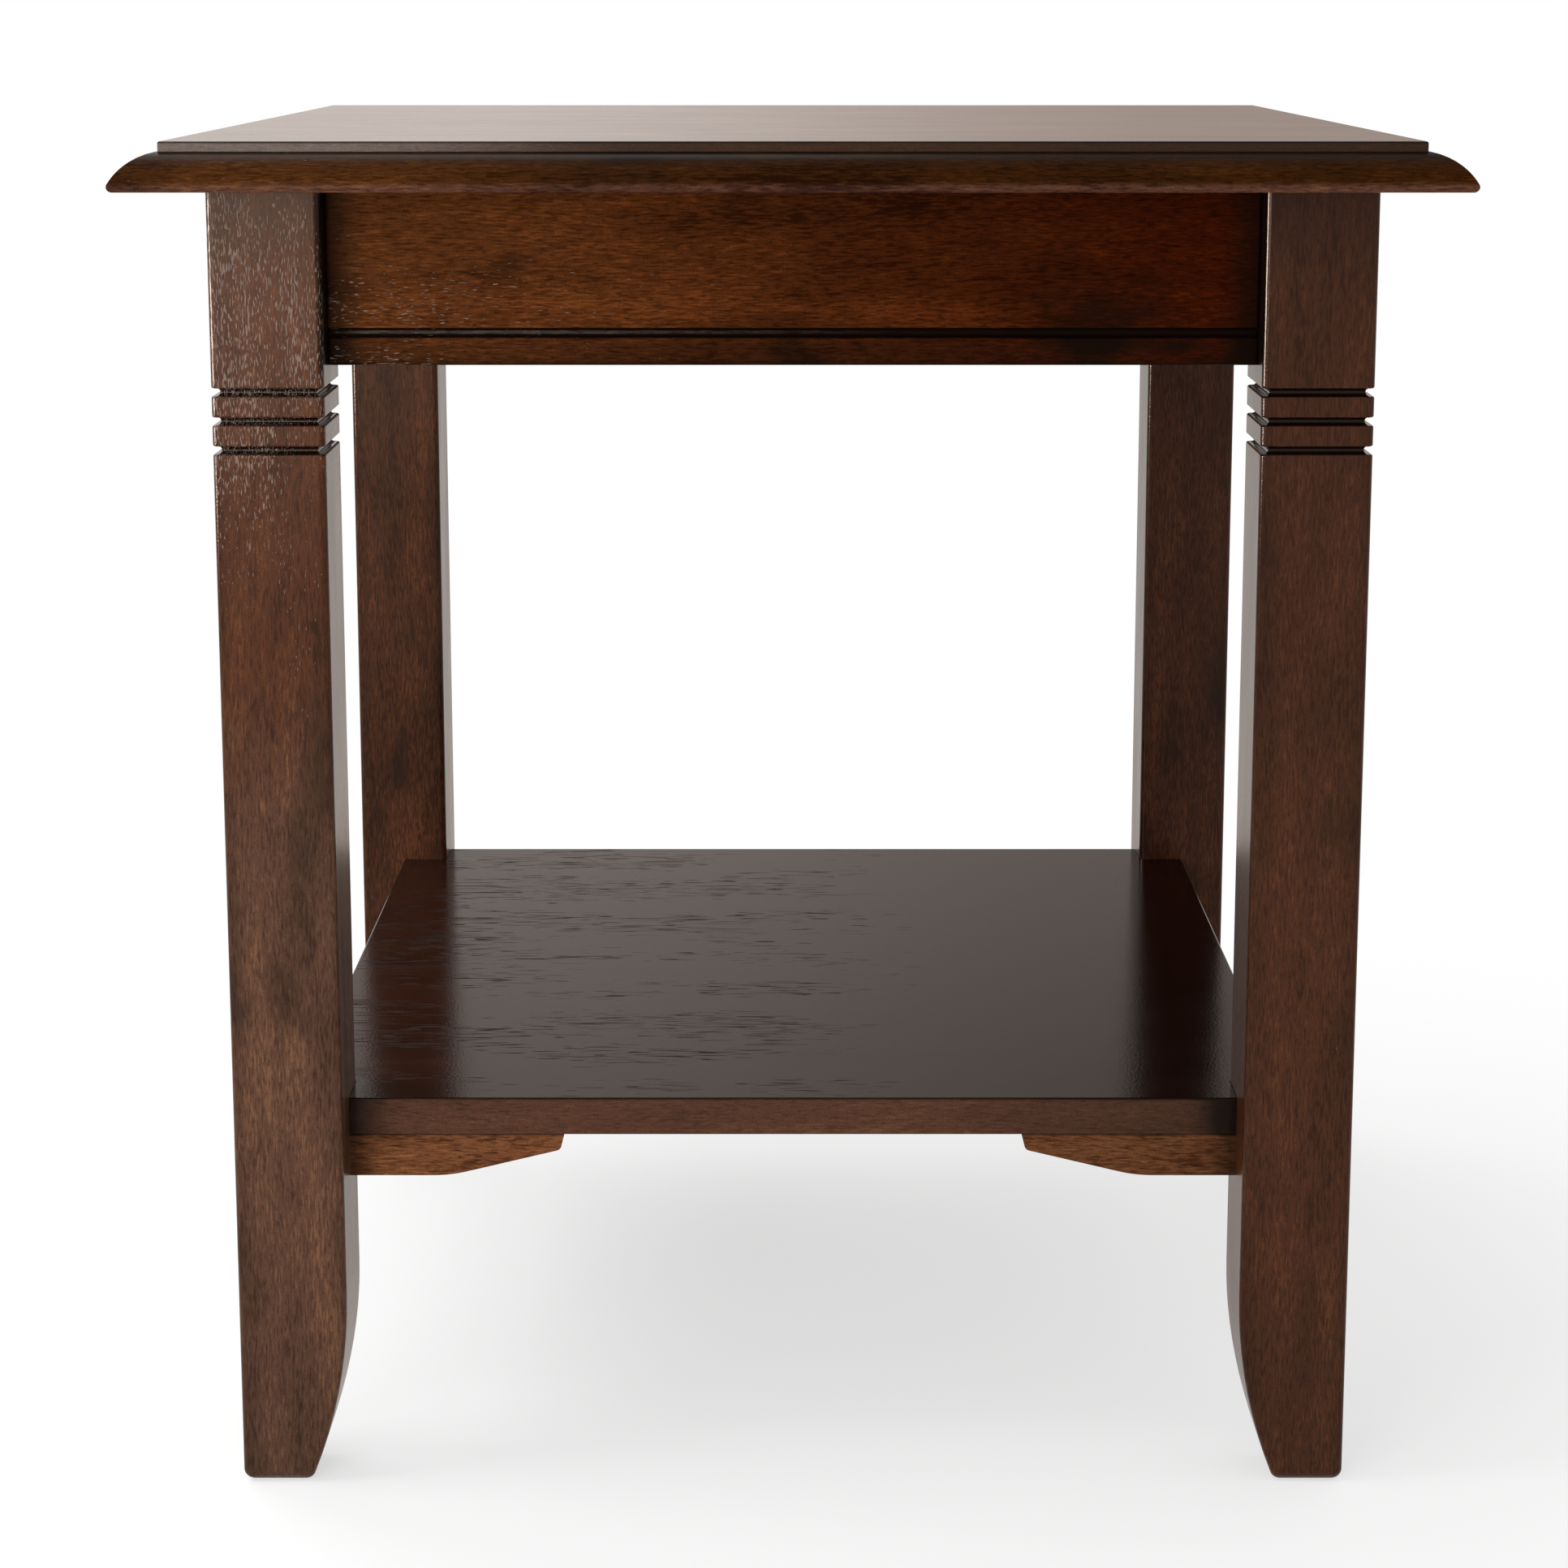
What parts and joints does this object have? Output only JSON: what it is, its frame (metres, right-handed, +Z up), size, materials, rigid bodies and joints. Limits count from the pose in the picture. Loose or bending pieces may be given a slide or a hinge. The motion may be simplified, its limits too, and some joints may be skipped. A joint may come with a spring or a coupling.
{
  "type": "accent table",
  "caption": "Square dark-stained wooden accent table with a moulded top, grooved square legs that curve in at the foot, recessed aprons and a notched lower shelf on curved brackets.",
  "frame": {"origin": "on the floor, under the middle of the table", "axes": "+Z up; -Y towards the front in the picture; +X to the right seen from the front"},
  "size_m": [0.526, 0.526, 0.56],
  "materials": {
    "top_wood": "dark brown stain under satin lacquer, grain along the front edge",
    "leg_wood": "dark brown stain under satin lacquer, upright grain",
    "apron_wood": "dark red-brown stain under satin lacquer, grain along the board",
    "shelf_wood": "dark brown stain under satin lacquer, open short pores along the front edge",
    "block_wood": "planed hardwood, unfinished",
    "dowel_wood": "turned beech, unfinished",
    "zinc_steel": "bright zinc plate",
    "screw_steel": "yellow zinc plate"
  },
  "bodies": {
    "root": {"apron_dowels": "dowel_wood", "apron_front": "apron_wood", "apron_left": "apron_wood", "apron_rear": "apron_wood", "apron_right": "apron_wood", "block_screws": "screw_steel", "bracket_dowels": "dowel_wood", "bracket_screws": "screw_steel", "corner_block_front_left": "block_wood", "corner_block_front_right": "block_wood", "corner_block_rear_left": "block_wood", "corner_block_rear_right": "block_wood", "hanger_bolts": "zinc_steel", "hanger_nuts": "zinc_steel", "hanger_washers": "zinc_steel", "leg_front_left": "leg_wood", "leg_front_right": "leg_wood", "leg_rear_left": "leg_wood", "leg_rear_right": "leg_wood", "shelf": "shelf_wood", "shelf_bracket_front_left": "shelf_wood", "shelf_bracket_front_right": "shelf_wood", "shelf_bracket_left_front": "shelf_wood", "shelf_bracket_left_rear": "shelf_wood", "shelf_bracket_rear_left": "shelf_wood", "shelf_bracket_rear_right": "shelf_wood", "shelf_bracket_right_front": "shelf_wood", "shelf_bracket_right_rear": "shelf_wood", "top_moulding_front": "top_wood", "top_moulding_left": "top_wood", "top_moulding_rear": "top_wood", "top_moulding_right": "top_wood", "top_panel": "top_wood", "top_screws": "screw_steel"}
  },
  "joints": []
}
